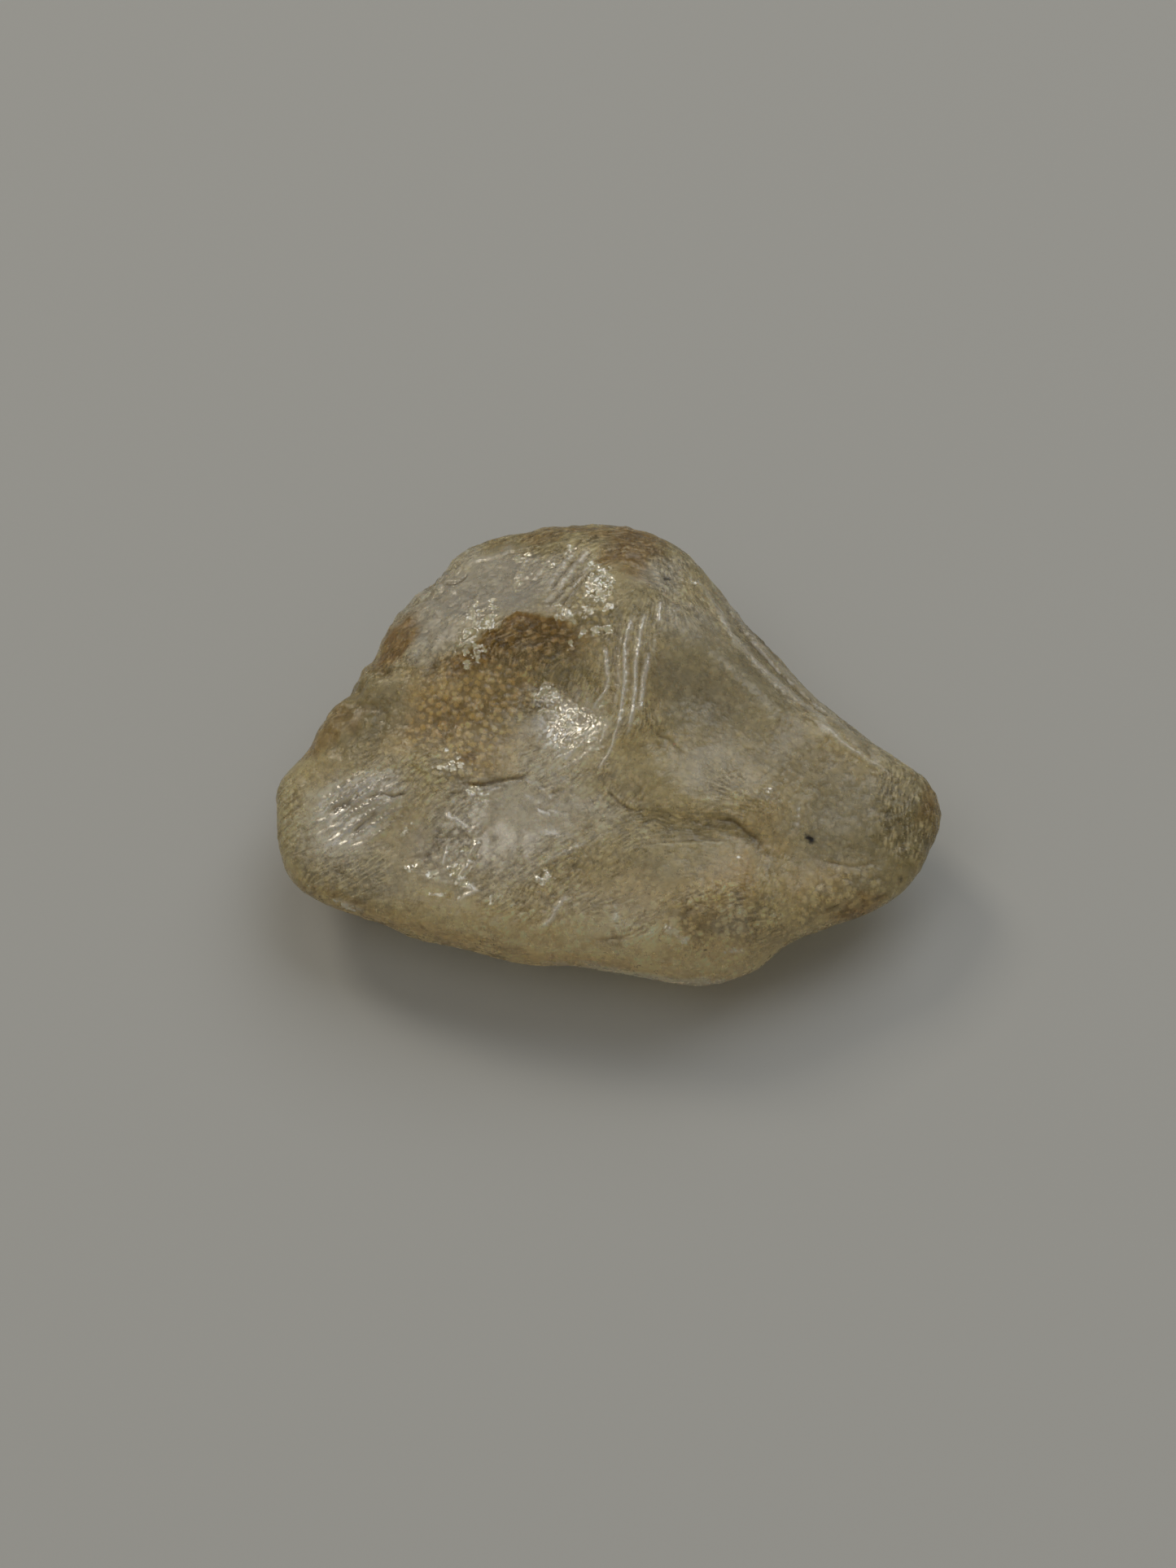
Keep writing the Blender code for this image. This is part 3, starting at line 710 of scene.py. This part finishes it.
def paint(points, seen, facing, warp):
    """The stone's tint at each point, with painted highlight, sheen, glow and shade laid into it."""
    cloud = layered(points, CLOUDS, CLOUD_SEED)
    rusty = layered(points, RUSTS, RUST_SEED)
    colour = np.tile(TINTS["straw"], (len(points), 1))
    hidden = 1 - facing
    colour = blend(colour, "veil_and_sheen", hidden * ease(cloud, 0.1, 0.7) * 0.7)
    colour = blend(colour, "moss", hidden * ease(-cloud, 0.2, 0.8) * 0.6)
    colour = blend(colour, "amber", hidden * ease(rusty, 0.0, 0.5) * 0.7)
    colour = blend(colour, "rust", hidden * ease(rusty, 0.45, 0.85) * 0.7)
    shaken = seen + 0.6 * warp
    for tint, middle, half, turn, strength in STAINS:
        inside = oval(shaken, middle, half, turn)
        colour = blend(colour, tint, facing * strength * ease(inside, -0.25, 0.6))
    for tint, path, left, right, strength in STRIPS:
        away, along, side = path_distance(seen + 0.25 * warp, path)
        reach = np.where(side > 0, left, right)
        fade = np.minimum(1.0, 8 * np.minimum(along, 1 - along) + 0.1)
        colour = blend(colour, tint, facing * strength * fade * ease(1 - away / reach, 0.0, 0.6))
    return colour


def store(mesh, name, values):
    """Keeps one number for each point of the mesh, for the material to read."""
    layer = mesh.attributes.new(name, "FLOAT", "POINT")
    layer.data.foreach_set("value", np.ascontiguousarray(values, dtype=np.float32))


def store_colour(mesh, name, values):
    """Keeps one colour for each point of the mesh, for the material to read."""
    layer = mesh.attributes.new(name, "FLOAT_COLOR", "POINT")
    full = np.concatenate([values, np.ones((len(values), 1))], axis=1)
    layer.data.foreach_set("color", np.ascontiguousarray(full, dtype=np.float32).ravel())


def cut_finer(form, chosen):
    """Cuts the chosen faces into four, and wears the points smooth that don't rest on the table."""
    edges = list({edge for face in chosen for edge in face.edges})
    bmesh.ops.subdivide_edges(form, edges=edges, cuts=1, use_grid_fill=True)
    bmesh.ops.triangulate(form, faces=[face for face in form.faces if len(face.verts) > 3])
    loose = [vertex for vertex in form.verts if vertex.co.z > REST_HEIGHT * MM]
    for _ in range(SMOOTH_TIMES):
        bmesh.ops.smooth_vert(
            form, verts=loose, factor=SMOOTH_SHARE, use_axis_x=True, use_axis_y=True, use_axis_z=True
        )
    form.normal_update()


def busiest(form, share):
    """The share of the faces towards the eye that lie nearest to threads, cracks, crests and sparkles."""
    near = [face for face in form.faces if face.normal.dot(Vector(TOWARDS)) > 0.1]
    seen = as_seen(np.array([face.calc_center_median() for face in near]) / MM)
    paths = CRESTS + tuple(path for _, path in THREADS) + tuple(path for path, _, _ in CRACKS)
    away = np.min([path_distance(seen, path)[0] for path in paths], axis=0)
    for middle, half, turn, _ in SPARKLES:
        away = np.minimum(away, -oval(seen, middle, half, turn) * min(half))
    order = np.argsort(away, kind="stable")[: int(share * len(near))]
    return [near[index] for index in order]


def fine_skin(solid):
    """A finer copy of the solid whose facets are worn round."""
    form = bmesh.new()
    form.from_mesh(solid.data)
    bmesh.ops.remove_doubles(form, verts=form.verts[:], dist=0.002 * MM)
    resting = [face for face in form.faces if face.calc_center_median().z < REST_HEIGHT * MM]
    bmesh.ops.dissolve_faces(form, faces=resting)
    bmesh.ops.triangulate(form, faces=form.faces[:])
    cut_finer(form, form.faces[:])
    cut_finer(form, [face for face in form.faces if face.normal.z > UNDERSIDE_SLOPE])
    cut_finer(form, busiest(form, FINEST_SHARE))
    mesh = bpy.data.meshes.new("amber skin")
    form.to_mesh(mesh)
    form.free()
    return mesh


def point_arrays(mesh):
    """The mesh's points in millimetres and its point normals."""
    points = np.empty(len(mesh.vertices) * 3)
    normals = np.empty(len(mesh.vertices) * 3)
    mesh.vertices.foreach_get("co", points)
    mesh.vertices.foreach_get("normal", normals)
    return points.reshape(-1, 3) / MM, normals.reshape(-1, 3)


class Skin:
    """The skin's points, and what there is at each of them."""

    def __init__(self, mesh):
        self.points, self.normals = point_arrays(mesh)
        self.seen = as_seen(self.points)
        self.facing = ease(self.normals @ TOWARDS, HIDDEN_LEAN, SEEN_LEAN)
        across = layered(self.points, WARPS, WARP_SEED, 2)
        upward = layered(self.points, WARPS, WARP_SEED + 1, 2)
        self.warp = np.stack([across, upward], axis=1)
        self.shake = layered(self.points, SHAKES, SHAKE_SEED)
        self.run = streak_run(self.points, self.normals, self.seen, self.facing)
        self.find_marks()

    def find_marks(self):
        """Finds where the lines, chips, crumbs and ribs are, and where the skin is broken or shines."""
        lines = line_masks(self.seen, self.facing, self.warp)
        self.thread, self.crest, self.crack, self.depth = lines
        self.sparkle = sparkle_mask(self.seen, self.facing, self.shake)
        crumbly = places_share(self.seen + 0.5 * self.warp, CRUMBLY, 0.5) * self.facing
        self.crumbly = np.maximum(crumbly, LEAST_CRUMBLY)
        uneven = ease(soft_noise(self.points, BREAK_SIZE, BREAK_SEED), -0.5, 0.35)
        self.broken = (1 - places_share(self.seen, SMOOTH_PLACES, 0.5) * self.facing) * uneven
        self.rib, height = ribs(self.seen, self.warp[:, 0] + 0.5 * self.shake)
        self.ribbed = height * self.facing
        self.gloss = places_share(self.seen + 0.3 * self.warp, GLOSSY, 0.7) * self.facing
        shaken = self.seen + 0.05 * self.warp
        specks = [ease(oval(shaken, middle, half, turn), -0.05, 0.2) for middle, half, turn in SPECKS]
        self.speck = np.max(specks, axis=0) * self.facing

    def height(self):
        """How far each point stands out from the worn solid, in millimetres."""
        height = layered(self.points, BUMPS, BUMP_SEED)
        height *= SMOOTH_BUMPS + (1 - SMOOTH_BUMPS) * self.broken
        nicked = ease(oval(self.seen, *NICKED), 0.0, 0.5)
        height += NICK_HEIGHT * nicked * soft_noise(self.points, NICK_SIZE, NICK_SEED)
        pebble = pebbles(self.points, PEBBLE, PEBBLE_SEED) - PEBBLE_LEVEL
        streak = STREAK_HEIGHT * streaks(self.points, self.run) * self.broken
        height += streak + PEBBLE_HEIGHT * self.crumbly * pebble
        thread = THREAD_HEIGHT * self.thread * (0.9 + 0.2 * self.shake)
        height += thread + CREST_HEIGHT * self.crest - self.depth
        height += self.ribbed * saw(self.rib)
        chips = self.sparkle * (CHIP_HEIGHT - CHIP_DEPTH * np.abs(self.shake))
        height += chips + ledge_height(self.seen, self.facing, self.warp)
        return (height + SMOOTHING_LOSS) * ease(self.points[:, 2], 0.02, 0.6)


def carve_skin(mesh):
    """Moves the skin's points to their relief, and keeps on them what the material reads."""
    skin = Skin(mesh)
    moved = skin.points + skin.normals * skin.height()[:, None]
    moved[:, 2] = np.maximum(moved[:, 2], 0.0)
    mesh.vertices.foreach_set("co", (moved * MM).ravel())
    store_colour(mesh, "tint", paint(skin.points, skin.seen, skin.facing, skin.warp))
    run = mesh.attributes.new("run", "FLOAT_VECTOR", "POINT")
    run.data.foreach_set("vector", skin.run.astype(np.float32).ravel())
    store(mesh, "rib", skin.rib)
    store(mesh, "ribbed", skin.ribbed)
    store(mesh, "broken", skin.broken)
    store(mesh, "crumbly", skin.crumbly)
    store(mesh, "sparkle", skin.sparkle)
    store(mesh, "gloss", skin.gloss)
    # One mask for the threads and the crest, for their glaze and their painted highlight
    store(mesh, "thread", np.maximum(skin.thread, CREST_SHINE * skin.crest))
    store(mesh, "crack", skin.crack)
    store(mesh, "speck", skin.speck)
    mesh.update()


class Nodes:
    """Short calls for building a material's node tree."""

    def __init__(self, tree):
        self.tree = tree

    def add(self, kind, **settings):
        """A new node with these settings."""
        node = self.tree.nodes.new(kind)
        for name, value in settings.items():
            setattr(node, name, value)
        return node

    def link(self, output, target):
        """Joins an output to an input."""
        self.tree.links.new(output, target)

    def feed(self, target, value):
        """Links an output to an input, or sets the input to a plain value."""
        if isinstance(value, bpy.types.NodeSocket):
            self.link(value, target)
        else:
            target.default_value = value

    def mix(self, share, first, second, blend="MIX"):
        """A colour mixed from two."""
        node = self.add("ShaderNodeMix", data_type="RGBA", blend_type=blend)
        self.feed(node.inputs["Factor"], share)
        self.feed(node.inputs["A"], first)
        self.feed(node.inputs["B"], second)
        return node.outputs["Result"]

    def reckon(self, operation, first, second=0.0):
        """One step of arithmetic on numbers."""
        node = self.add("ShaderNodeMath", operation=operation)
        self.feed(node.inputs[0], first)
        self.feed(node.inputs[1], second)
        return node.outputs[0]

    def plus(self, first, second):
        """Two numbers added."""
        return self.reckon("ADD", first, second)

    def times(self, first, second):
        """Two numbers multiplied."""
        return self.reckon("MULTIPLY", first, second)

    def larger(self, first, second):
        """The larger of two numbers."""
        return self.reckon("MAXIMUM", first, second)

    def between(self, value, low, high, start=0.0, end=1.0):
        """A number moved smoothly from one range to another."""
        node = self.add("ShaderNodeMapRange", interpolation_type="SMOOTHSTEP")
        self.feed(node.inputs["Value"], value)
        node.inputs["From Min"].default_value = low
        node.inputs["From Max"].default_value = high
        node.inputs["To Min"].default_value = start
        node.inputs["To Max"].default_value = end
        return node.outputs["Result"]

    def noise(self, where, per_mm, detail=4.0, roughness=0.55, distortion=0.0):
        """Noise with this many cells in a millimetre."""
        node = self.add("ShaderNodeTexNoise")
        self.link(where, node.inputs["Vector"])
        node.inputs["Scale"].default_value = per_mm / MM
        node.inputs["Detail"].default_value = detail
        node.inputs["Roughness"].default_value = roughness
        node.inputs["Distortion"].default_value = distortion
        return node.outputs["Fac"]

    def shifted(self, where, direction, distance):
        """A place moved along a direction by a distance in millimetres."""
        node = self.add("ShaderNodeVectorMath", operation="MULTIPLY_ADD")
        self.link(direction, node.inputs[0])
        node.inputs[1].default_value = (distance * MM,) * 3
        self.link(where, node.inputs[2])
        return node.outputs["Vector"]

    def streaked(self, where, run, per_mm, step, reach):
        """Noise drawn out along a direction: the mean of noises at steps, in millimetres, along it."""
        total = 0.0
        for count in range(-reach, reach + 1):
            place = self.shifted(where, run, count * step)
            total = self.plus(self.noise(place, per_mm, 1.0, 0.6), total)
        return self.reckon("DIVIDE", total, 2 * reach + 1)

    def tilt(self, where, cells):
        """The height, in millimetres, of a face in each Voronoi cell that leans its own way."""
        away = self.add("ShaderNodeVectorMath", operation="SUBTRACT")
        self.link(where, away.inputs[0])
        self.link(cells.outputs["Position"], away.inputs[1])
        lean = self.add("ShaderNodeVectorMath", operation="SUBTRACT")
        self.link(cells.outputs["Color"], lean.inputs[0])
        lean.inputs[1].default_value = (0.5, 0.5, 0.5)
        product = self.add("ShaderNodeVectorMath", operation="DOT_PRODUCT")
        self.link(away.outputs["Vector"], product.inputs[0])
        self.link(lean.outputs["Vector"], product.inputs[1])
        return self.reckon("DIVIDE", product.outputs["Value"], MM)

    def shade(self, colour, amount):
        """A colour made darker or lighter by a number."""
        return self.mix(1.0, colour, amount, "MULTIPLY")

    def stored(self, name):
        """A number that the mesh keeps for each of its points."""
        return self.add("ShaderNodeAttribute", attribute_name=name).outputs["Fac"]


def flake_patterns(kit, where):
    """Bent flakes: how near each spot is to its flake's middle, the flake's own number, and how it leans."""
    bend = kit.add("ShaderNodeTexNoise")
    kit.link(where, bend.inputs["Vector"])
    bend.inputs["Scale"].default_value = BEND_CELLS / MM
    bent = kit.shifted(where, bend.outputs["Color"], BEND)
    flakes = kit.add("ShaderNodeTexVoronoi")
    kit.link(bent, flakes.inputs["Vector"])
    flakes.inputs["Scale"].default_value = FLAKE_CELLS / MM
    crumb = kit.between(flakes.outputs["Distance"], 0.28, 0.62, 1.0, 0.0)
    split = kit.add("ShaderNodeSeparateColor")
    kit.link(flakes.outputs["Color"], split.inputs["Color"])
    return crumb, split.outputs["Red"], kit.tilt(bent, flakes)


def chip_pattern(kit, crumb, flake):
    """1 on the bright chips of the sparkling patches and 0 elsewhere."""
    chips = kit.times(kit.stored("sparkle"), kit.between(flake, 0.0, 0.8, 0.25, 1.0))
    chips = kit.times(chips, kit.between(crumb, 0.0, 0.7, 0.35, 1.0))
    return kit.between(chips, 0.10, 0.22)


def skin_patterns(kit, where):
    """The patterns that the colour, the shine and the relief share, by name."""
    run = kit.add("ShaderNodeAttribute", attribute_name="run").outputs["Vector"]
    fibre = kit.streaked(where, run, FIBRE_CELLS, FIBRE_STEP, FIBRE_REACH)
    crumb, flake, lean = flake_patterns(kit, where)
    rib = kit.reckon("FRACT", kit.plus(kit.stored("rib"), kit.times(fibre, 0.5)))
    return {
        "mottle": kit.noise(where, MOTTLE_CELLS, 6.0, 0.7),
        "grain": kit.noise(where, GRAIN_CELLS, 4.0, 0.75),
        "fibre": fibre,
        "crumb": crumb,
        "flake": flake,
        "lean": lean,
        "rib": kit.times(kit.reckon("SUBTRACT", rib, 0.45), kit.stored("ribbed")),
        "chips": chip_pattern(kit, crumb, flake),
        "crumbly": kit.stored("crumbly"),
        "broken": kit.between(kit.stored("broken"), 0.0, 1.0, 0.2, 1.0),
    }


def clouded(kit, colour, skin):
    """The colour with its clouds, crumbs and grain."""
    cloud = kit.between(skin["mottle"], 0.32, 0.68, *CLOUD_SHADES)
    cloud = kit.times(cloud, kit.between(skin["broken"], 0.2, 1.0, 0.5, 1.0))
    colour = kit.shade(colour, kit.plus(cloud, 1.0))
    crumb = kit.times(kit.between(skin["crumb"], 0.0, 1.0, *CRUMB_SHADES), skin["crumbly"])
    colour = kit.shade(colour, kit.plus(crumb, 1.0))
    lit = kit.times(skin["crumb"], kit.between(skin["flake"], 0.35, 1.0, 0.0, PALE_CRUMB))
    colour = kit.mix(kit.times(lit, skin["crumbly"]), colour, MARKS["crumb"])
    return kit.shade(colour, kit.between(skin["grain"], 0.34, 0.66, *GRAIN_SHADES))


def fibred(kit, colour, skin):
    """The colour with its fibres, whose light streaks are partly painted sheen, its flakes, and its ribs,
    whose sides carry painted light and shade.
    """
    # Light fibres, partly painted sheen
    light = kit.times(kit.between(skin["fibre"], 0.50, 0.60, 0.0, PALE_FIBRE_AND_SHEEN), skin["broken"])
    colour = kit.mix(light, colour, MARKS["fibre"])
    fibre = kit.times(kit.between(skin["fibre"], 0.41, 0.59, *FIBRE_SHADES), skin["broken"])
    flake = kit.times(kit.between(skin["flake"], 0.0, 1.0, *FLAKE_SHADES), skin["broken"])
    # The ribs' painted light and shade
    shade = kit.plus(kit.plus(fibre, flake), kit.times(skin["rib"], RIB_SHADE))
    return kit.shade(colour, kit.plus(shade, 1.0))


def lined(kit, colour, where):
    """The colour with its fine dark veins, its cracks, darkened partly as painted shade in their grooves, and
    its pale threads and crest, lightened as a painted highlight.
    """
    vein = kit.noise(where, VEIN_CELLS, 6.0, 0.62, 0.5)
    vein = kit.reckon("ABSOLUTE", kit.reckon("SUBTRACT", vein, 0.5))
    vein = kit.between(vein, 0.0, 0.022, 1.0, 0.0)
    vein = kit.times(vein, kit.between(kit.noise(where, VEINED_CELLS, 2.0), 0.45, 0.6, 0.0, VEINED))
    colour = kit.mix(vein, colour, MARKS["vein"])
    # Cracks: their own dark and painted shade in the grooves
    colour = kit.mix(kit.times(kit.stored("crack"), CRACK_DARK_AND_SHADE), colour, MARKS["crack"])
    # Threads and crest: painted highlight along their ridges
    return kit.mix(kit.times(kit.stored("thread"), THREAD_HIGHLIGHT), colour, MARKS["thread"])


def skin_relief(kit, skin):
    """The height of the relief that is too fine for the mesh."""
    fine = kit.plus(kit.times(skin["fibre"], FIBRE_RELIEF), kit.times(skin["grain"], GRAIN_RELIEF))
    fine = kit.plus(fine, kit.times(skin["crumb"], CRUMB_RELIEF))
    fine = kit.plus(kit.times(fine, skin["broken"]), kit.times(skin["rib"], RIB_RELIEF))
    leaning = kit.larger(kit.stored("sparkle"), kit.times(skin["crumbly"], CRUMBLY_TILT))
    fine = kit.plus(fine, kit.times(kit.times(skin["lean"], FLAKE_RELIEF), leaning))
    return kit.plus(kit.times(skin["mottle"], MOTTLE_RELIEF), fine)


def fill_with_resin(kit, shader, output):
    """Makes the stone see-through and cloudy inside."""
    shader.inputs["Metallic"].default_value = 0.0
    shader.inputs["IOR"].default_value = REFRACTION
    shader.inputs["Transmission Weight"].default_value = CLEARNESS
    shader.inputs["Subsurface Weight"].default_value = 1.0
    shader.inputs["Subsurface Radius"].default_value = SCATTER_COLOUR
    shader.inputs["Subsurface Scale"].default_value = SCATTER_DEPTH * MM
    absorb = kit.add("ShaderNodeVolumeAbsorption")
    absorb.inputs["Color"].default_value = RESIN_COLOUR
    absorb.inputs["Density"].default_value = RESIN_DENSITY
    kit.link(absorb.outputs["Volume"], output.inputs["Volume"])


def amber_material():
    """Cloudy straw-coloured amber with stains, streaks, sparkling chips and fine dark veins."""
    material = bpy.data.materials.new("cloudy amber")
    material.use_nodes = True
    kit = Nodes(material.node_tree)
    shader = material.node_tree.nodes["Principled BSDF"]
    where = kit.add("ShaderNodeTexCoord").outputs["Object"]
    skin = skin_patterns(kit, where)

    colour = kit.add("ShaderNodeAttribute", attribute_name="tint").outputs["Color"]
    colour = lined(kit, fibred(kit, clouded(kit, colour, skin), skin), where)
    # The chips are painted pale as glints over their own pale colour
    colour = kit.mix(skin["chips"], colour, MARKS["chip_and_glint"])
    colour = kit.mix(kit.stored("speck"), colour, MARKS["dirt"])
    kit.link(colour, shader.inputs["Base Color"])

    rough = kit.between(skin["mottle"], 0.3, 0.7, POLISHED, FROSTED)
    rough = kit.reckon("SUBTRACT", rough, kit.times(skin["chips"], CHIP_POLISH))
    kit.link(rough, shader.inputs["Roughness"])
    glaze = kit.larger(kit.larger(skin["chips"], kit.stored("thread")), kit.stored("gloss"))
    kit.link(glaze, shader.inputs["Coat Weight"])
    shader.inputs["Coat Roughness"].default_value = GLAZE_ROUGHNESS
    shader.inputs["Coat IOR"].default_value = GLAZE_REFRACTION

    bump = kit.add("ShaderNodeBump")
    bump.inputs["Strength"].default_value = 1.0
    bump.inputs["Distance"].default_value = RELIEF_DEPTH * MM
    kit.link(skin_relief(kit, skin), bump.inputs["Height"])
    kit.link(bump.outputs["Normal"], shader.inputs["Normal"])
    fill_with_resin(kit, shader, material.node_tree.nodes["Material Output"])
    return material


def make_amber():
    """The finished stone, in place of the plain solid."""
    mesh = fine_skin(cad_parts["amber"])
    carve_skin(mesh)
    mesh.shade_smooth()
    mesh.materials.append(amber_material())
    stone = bpy.data.objects.new("raw_amber_piece", mesh)
    bpy.context.scene.collection.objects.link(stone)
    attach(stone, "root")
    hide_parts("amber")


def make_table():
    """A pale matt table top that runs out of view."""
    bpy.ops.mesh.primitive_plane_add(size=TABLE_SIZE, location=(0, 0, -TABLE_GAP * MM))
    table = bpy.context.object
    table.name = "table top"
    material = bpy.data.materials.new("pale paper")
    material.use_nodes = True
    shader = material.node_tree.nodes["Principled BSDF"]
    shader.inputs["Base Color"].default_value = PAPER
    shader.inputs["Roughness"].default_value = PAPER_ROUGHNESS
    shader.inputs["Specular IOR Level"].default_value = PAPER_SHINE
    table.data.materials.append(material)


def make_light(name, place, size, power, colour):
    """A soft square light aimed at the stone, placed in metres."""
    lamp = bpy.data.lights.new(name, "AREA")
    lamp.size = size
    lamp.energy = power
    lamp.color = colour
    holder = bpy.data.objects.new(name, lamp)
    holder.location = place
    holder.rotation_euler = (-Vector(place)).to_track_quat("-Z", "Y").to_euler()
    bpy.context.scene.collection.objects.link(holder)


def make_room():
    """Dim warm surroundings, the lights, and the plain colours of a camera."""
    scene = bpy.context.scene
    world = bpy.data.worlds.new("soft room")
    world.use_nodes = True
    world.node_tree.nodes["Background"].inputs["Color"].default_value = ROOM_COLOUR
    world.node_tree.nodes["Background"].inputs["Strength"].default_value = ROOM_STRENGTH
    scene.world = world
    scene.view_settings.view_transform = "Standard"
    for name, place, size, power, colour in LIGHTS:
        make_light(name, place, size, power, colour)


def make_camera():
    """The camera at the eye, framed on the stone."""
    lens = bpy.data.cameras.new("eye")
    lens.lens = LENS
    lens.sensor_width = SENSOR
    lens.clip_start = 1 * MM
    camera = bpy.data.objects.new("eye", lens)
    camera.location = EYE_TARGET + Vector(TOWARDS) * EYE_DISTANCE
    turn = Matrix((ACROSS, UPWARD, TOWARDS)).transposed()
    camera.rotation_euler = turn.to_euler()
    bpy.context.scene.collection.objects.link(camera)
    bpy.context.scene.camera = camera


make_amber()
make_table()
make_room()
make_camera()
